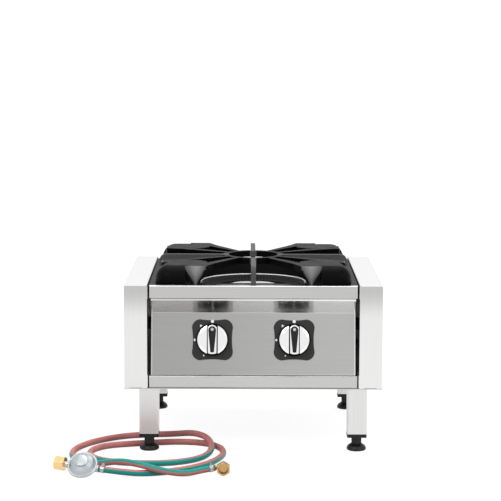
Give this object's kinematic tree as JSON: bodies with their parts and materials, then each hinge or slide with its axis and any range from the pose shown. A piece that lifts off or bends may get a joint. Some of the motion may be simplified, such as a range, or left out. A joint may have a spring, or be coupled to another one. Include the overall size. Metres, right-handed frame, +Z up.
{
  "type": "stock pot range",
  "caption": "Low gas range for stock pots with a cast pan support, a two-ring burner and two knobs on four short legs, with its gas hose and regulator.",
  "frame": {"origin": "middle of the range on the floor under its feet", "axes": "+X to the right seen from the front, +Y to the back, +Z up"},
  "size_m": [0.7199, 0.7631, 0.4193],
  "materials": {
    "sheet_steel": "satin brushed",
    "tray_steel": "bright brushed",
    "panel_steel": "satin brushed",
    "frame_steel": "galvanised, matt",
    "cast_support": "matt black enamel",
    "burner_iron": "cast",
    "crown_metal": "turned, with milled slots",
    "brass": "machined",
    "pipe_steel": "zinc plated",
    "probe_metal": "polished",
    "plate_enamel": "dark satin",
    "knob_plastic": "satin",
    "knob_metal": "brushed disc",
    "fastener_steel": "machined",
    "plug_plastic": "satin",
    "foot_plastic": "satin",
    "hose_rubber": "fine ribbed with a stripe",
    "regulator_zinc": "cast and lacquered"
  },
  "bodies": {
    "range_body": {"left_cheek": "sheet_steel", "right_cheek": "sheet_steel", "hob_tray": "tray_steel", "control_panel": "panel_steel", "bottom_rail": "sheet_steel", "rear_panel": "sheet_steel", "base_plate": "sheet_steel", "front_crossbar": "frame_steel", "rear_crossbar": "frame_steel", "left_carrier": "frame_steel", "right_carrier": "frame_steel", "inner_burner_bars": "frame_steel", "leg_front_left": "sheet_steel", "leg_front_right": "sheet_steel", "leg_rear_left": "sheet_steel", "leg_rear_right": "sheet_steel", "leg_plugs": "plug_plastic", "outer_burner_body": "burner_iron", "inner_burner_body": "burner_iron", "outer_mixing_tube": "burner_iron", "inner_mixing_tube": "burner_iron", "injectors": "brass", "gas_manifold": "pipe_steel", "inlet_nipple": "fastener_steel", "left_valve": "brass", "right_valve": "brass", "left_feed_pipe": "pipe_steel", "right_feed_pipe": "pipe_steel", "left_knob_plate": "plate_enamel", "right_knob_plate": "plate_enamel", "outer_thermocouple": "probe_metal", "inner_thermocouple": "probe_metal", "rear_screws": "fastener_steel", "leg_bolts": "fastener_steel", "gas_hose": "hose_rubber", "regulator_body": "regulator_zinc", "regulator_cap": "regulator_zinc", "regulator_nipple": "pipe_steel", "hose_clamps": "fastener_steel", "end_elbow": "brass"},
    "left_stem": {"left_stem": "fastener_steel"},
    "left_knob": {"left_knob_skirt": "knob_plastic", "left_knob_face": "knob_metal", "left_knob_grip": "knob_metal", "left_knob_insert": "knob_plastic"},
    "right_stem": {"right_stem": "fastener_steel"},
    "right_knob": {"right_knob_skirt": "knob_plastic", "right_knob_face": "knob_metal", "right_knob_grip": "knob_metal", "right_knob_insert": "knob_plastic"},
    "foot_front_left": {"foot_front_left": "foot_plastic"},
    "foot_front_right": {"foot_front_right": "foot_plastic"},
    "foot_rear_left": {"foot_rear_left": "foot_plastic"},
    "foot_rear_right": {"foot_rear_right": "foot_plastic"},
    "pan_support": {"pan_support": "cast_support"},
    "outer_crown": {"outer_burner_cap": "crown_metal"},
    "inner_crown": {"inner_burner_cap": "crown_metal"},
    "union_nut": {"union_nut": "brass"},
    "end_nut": {"end_nut": "brass"}
  },
  "joints": [
    {"name": "left_turn", "type": "hinge", "parent": "range_body", "child": "left_stem", "pos_m": [-0.092, -0.23409, 0.255], "axis": [0, -0.9803, 0.1975], "range_deg": [0, 150]},
    {"name": "left_push", "type": "slide", "parent": "left_stem", "child": "left_knob", "axis": [0, 0.9803, -0.1975], "range_m": [0, 0.003], "stiffness_N_per_m": 800, "springref_m": -0.01},
    {"name": "right_turn", "type": "hinge", "parent": "range_body", "child": "right_stem", "pos_m": [0.092, -0.23409, 0.255], "axis": [0, -0.9803, 0.1975], "range_deg": [0, 150]},
    {"name": "right_push", "type": "slide", "parent": "right_stem", "child": "right_knob", "axis": [0, 0.9803, -0.1975], "range_m": [0, 0.003], "stiffness_N_per_m": 800, "springref_m": -0.01},
    {"name": "foot_front_left_height", "type": "slide", "parent": "range_body", "child": "foot_front_left", "axis": [0, 0, -1], "range_m": [0, 0.018]},
    {"name": "foot_front_right_height", "type": "slide", "parent": "range_body", "child": "foot_front_right", "axis": [0, 0, -1], "range_m": [0, 0.018]},
    {"name": "foot_rear_left_height", "type": "slide", "parent": "range_body", "child": "foot_rear_left", "axis": [0, 0, -1], "range_m": [0, 0.018]},
    {"name": "foot_rear_right_height", "type": "slide", "parent": "range_body", "child": "foot_rear_right", "axis": [0, 0, -1], "range_m": [0, 0.018]},
    {"name": "pan_support_lift", "type": "slide", "parent": "range_body", "child": "pan_support", "axis": [0, 0, 1], "range_m": [0, 0.06]},
    {"name": "outer_crown_lift", "type": "slide", "parent": "range_body", "child": "outer_crown", "axis": [0, 0, 1], "range_m": [0, 0.02]},
    {"name": "inner_crown_lift", "type": "slide", "parent": "range_body", "child": "inner_crown", "axis": [0, 0, 1], "range_m": [0, 0.02]},
    {"name": "union_nut_turn", "type": "hinge", "parent": "range_body", "child": "union_nut", "pos_m": [-0.41927, -0.44173, 0.0218], "axis": [-0.9636, 0.2582, 0.0698], "continuous": true},
    {"name": "end_nut_turn", "type": "hinge", "parent": "range_body", "child": "end_nut", "pos_m": [-0.064, -0.46, 0.0157], "axis": [0, -1, 0], "continuous": true}
  ]
}
